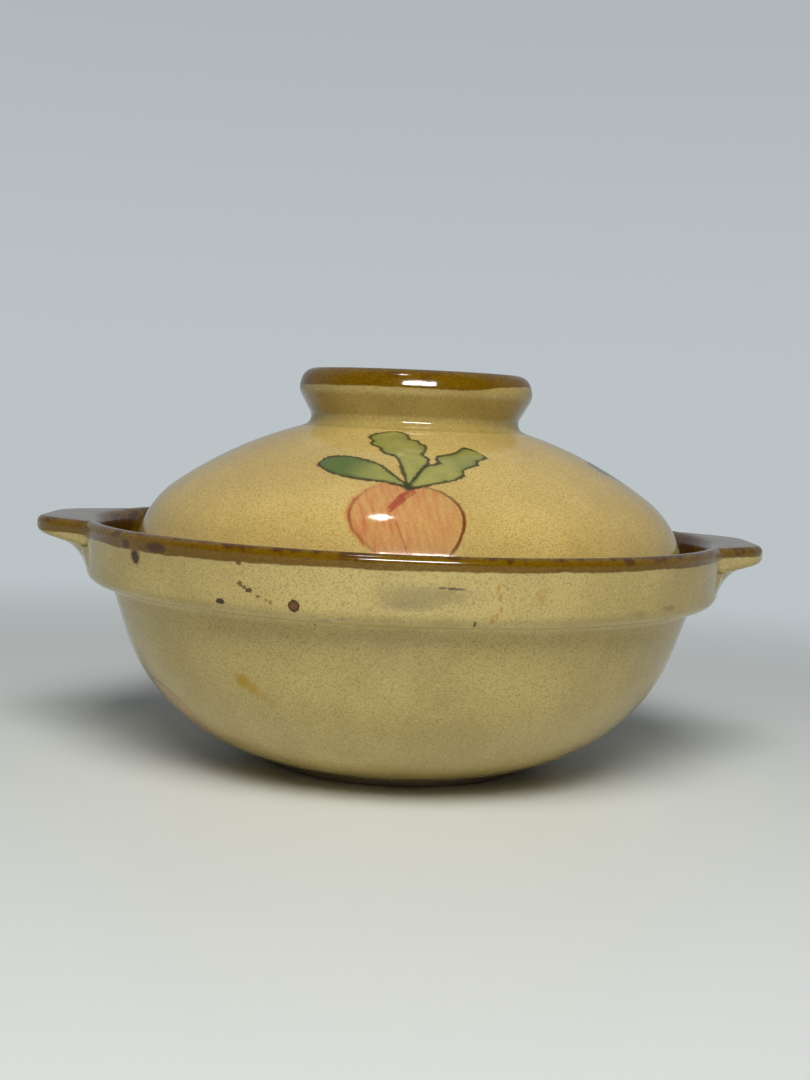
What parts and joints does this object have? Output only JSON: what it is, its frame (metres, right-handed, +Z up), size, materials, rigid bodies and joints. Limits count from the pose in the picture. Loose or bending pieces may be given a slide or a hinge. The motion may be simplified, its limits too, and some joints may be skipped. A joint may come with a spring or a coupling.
{
  "type": "lidded clay pot",
  "caption": "Round glazed clay pot with a stepped collar, lug handles level with the rim, and a domed lid that lifts off by its flared ring knob.",
  "frame": {"origin": "middle of the foot's resting plane, on the pot's axis", "axes": "+Z up along the pot's axis, X along the two handles (the longer one at -X), the painted front towards -Y"},
  "size_m": [0.251, 0.2238, 0.1371],
  "materials": {
    "cream_glaze": "glossy cream-tan speckled glaze, amber-brown at the rim, bare clay under the foot",
    "handle_glaze": "glossy amber-brown glaze over cream-tan",
    "lid_glaze": "glossy cream-tan speckled glaze with painted root vegetables",
    "knob_glaze": "glossy cream-tan glaze with an amber-brown lip"
  },
  "bodies": {
    "pot": {"pot_body": "cream_glaze", "handle_left": "handle_glaze", "handle_right": "handle_glaze"},
    "lid": {"lid_dome": "lid_glaze", "lid_knob_ring": "knob_glaze"}
  },
  "joints": [
    {"name": "lid_lift", "type": "slide", "parent": "pot", "child": "lid", "axis": [0, 0, 1], "range_m": [0, 0.1]}
  ]
}
